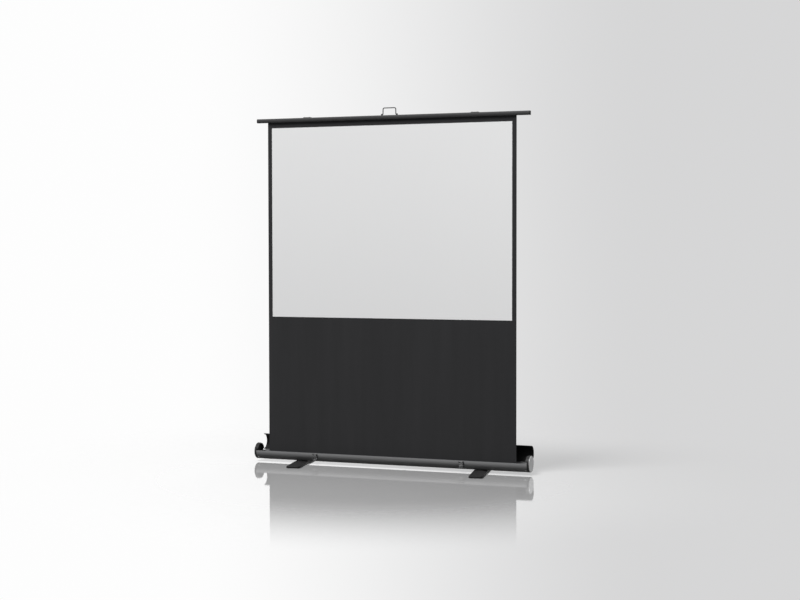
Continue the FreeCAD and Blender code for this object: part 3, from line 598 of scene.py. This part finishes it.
# pale studio: glossy floor that fades into a world of the same tone
studio = {
    "right": (0.9315, 0.3637, 0.0),  # across the picture
    "paleLeft": (0.985, 0.985, 0.985),
    "greyRight": (0.672, 0.672, 0.676),
    "worldSpan": (-0.14, 0.16),
    "floorSpan": (-1.4, 3.6),
    "ambient": 0.26,
    "shine": 1.35,
    "gloss": 1.9,
    "rough": 0.04,
    "floorTone": 0.7,
    "dim": (0.05, 0.05, 0.05),
    "fade": (1.2, 2.8),
    "radius": 9.0,
    "sides": 96,
    "drop": 0.0002,  # just under the pads
}
lamps = {
    "key": {
        "at": (-4.68, -9.0, 18.12), "aim": (0.0, 0.0, 1.2),
        "size": 8.1, "power": 4900.0, "mirrored": True,
    },
    "side": {
        "at": (4.6, -2.4, 2.6), "aim": (0.6, 0.0, 0.4),
        "size": 2.0, "power": 34.0, "mirrored": False,
    },
    "rear": {
        "at": (-0.5, 4.4, 3.0), "aim": (0.0, 0.0, 0.9),
        "size": 2.6, "power": 45.0, "mirrored": False,
    },
}
white = (1.0, 1.0, 1.0, 1.0)


def acrossTone(tree, vector, span):
    dot = put(tree, "ShaderNodeVectorMath", operation="DOT_PRODUCT")
    feed(tree, dot.inputs[0], vector)
    dot.inputs[1].default_value = studio["right"]
    share = spread(tree, dot.outputs["Value"], *span, 0.0, 1.0, True)
    return mixColour(tree, share, opaque(studio["paleLeft"]), opaque(studio["greyRight"]))


def seenDirectly(tree):
    path = put(tree, "ShaderNodeLightPath").outputs
    mirrored = calc(tree, "MAXIMUM", path["Is Glossy Ray"], path["Is Transmission Ray"])
    return calc(tree, "MAXIMUM", path["Is Camera Ray"], mirrored)


def makeWorld():
    world = bpy.data.worlds.new("studioWorld")
    scene.world = world
    world.use_nodes = True
    tree = world.node_tree
    tree.nodes.clear()
    seen = put(tree, "ShaderNodeBackground")
    toward = put(tree, "ShaderNodeTexCoord").outputs["Generated"]
    feed(tree, seen.inputs["Color"], acrossTone(tree, toward, studio["worldSpan"]))
    soft = put(tree, "ShaderNodeBackground")
    soft.inputs["Color"].default_value = white
    soft.inputs["Strength"].default_value = studio["ambient"]
    mix = put(tree, "ShaderNodeMixShader")
    feed(tree, mix.inputs[0], seenDirectly(tree))
    tree.links.new(soft.outputs[0], mix.inputs[1])
    tree.links.new(seen.outputs[0], mix.inputs[2])
    tree.links.new(mix.outputs[0], put(tree, "ShaderNodeOutputWorld").inputs[0])


def makeFloor():
    mesh = bpy.data.meshes.new("paleFloor")
    form = bmesh.new()
    bmesh.ops.create_circle(form, cap_ends=True, segments=studio["sides"], radius=studio["radius"])
    form.to_mesh(mesh)
    form.free()
    floor = bpy.data.objects.new("paleFloor", mesh)
    floor.location.z = -studio["drop"]
    scene.collection.objects.link(floor)
    material = bpy.data.materials.new("paleFloor")
    material.use_nodes = True
    tree = material.node_tree
    tree.nodes.clear()
    where = put(tree, "ShaderNodeTexCoord").outputs["Object"]
    matt = put(tree, "ShaderNodeBsdfDiffuse")
    pale = acrossTone(tree, where, studio["floorSpan"])
    feed(tree, matt.inputs["Color"], stretch(tree, pale, (studio["floorTone"],) * 3))
    shine = put(tree, "ShaderNodeBsdfGlossy")
    shine.inputs["Color"].default_value = white
    shine.inputs["Roughness"].default_value = studio["rough"]
    grazing = put(tree, "ShaderNodeFresnel")
    grazing.inputs["IOR"].default_value = studio["gloss"]
    polished = put(tree, "ShaderNodeMixShader")
    feed(tree, polished.inputs[0], calc(tree, "MULTIPLY", grazing.outputs[0], studio["shine"], True))
    tree.links.new(matt.outputs[0], polished.inputs[1])
    tree.links.new(shine.outputs[0], polished.inputs[2])
    reach = put(tree, "ShaderNodeVectorMath", operation="LENGTH")
    feed(tree, reach.inputs[0], where)
    away = put(tree, "ShaderNodeMixShader")
    feed(tree, away.inputs[0], spread(tree, reach.outputs["Value"], *studio["fade"], 0.0, 1.0, True))
    tree.links.new(polished.outputs[0], away.inputs[1])
    tree.links.new(put(tree, "ShaderNodeBsdfTransparent").outputs[0], away.inputs[2])
    dim = put(tree, "ShaderNodeBsdfDiffuse")
    dim.inputs["Color"].default_value = opaque(studio["dim"])
    bounce = put(tree, "ShaderNodeMixShader")  # pale to the eye, little light thrown back up
    feed(tree, bounce.inputs[0], seenDirectly(tree))
    tree.links.new(dim.outputs[0], bounce.inputs[1])
    tree.links.new(away.outputs[0], bounce.inputs[2])
    tree.links.new(bounce.outputs[0], put(tree, "ShaderNodeOutputMaterial").inputs[0])
    mesh.materials.append(material)


def makeLamp(name, look):
    lamp = bpy.data.lights.new(name + "Lamp", "AREA")
    lamp.shape = "SQUARE"
    lamp.size = look["size"]
    lamp.energy = look["power"]
    holder = bpy.data.objects.new(name + "Lamp", lamp)
    holder.location = look["at"]
    toward = Vector(look["aim"]) - Vector(look["at"])
    holder.rotation_euler = toward.to_track_quat("-Z", "Y").to_euler()
    holder.visible_camera = False
    holder.visible_glossy = look["mirrored"]
    scene.collection.objects.link(holder)


makeWorld()
makeFloor()
for lampName, lampLook in lamps.items():
    makeLamp(lampName, lampLook)
print("studio lit")
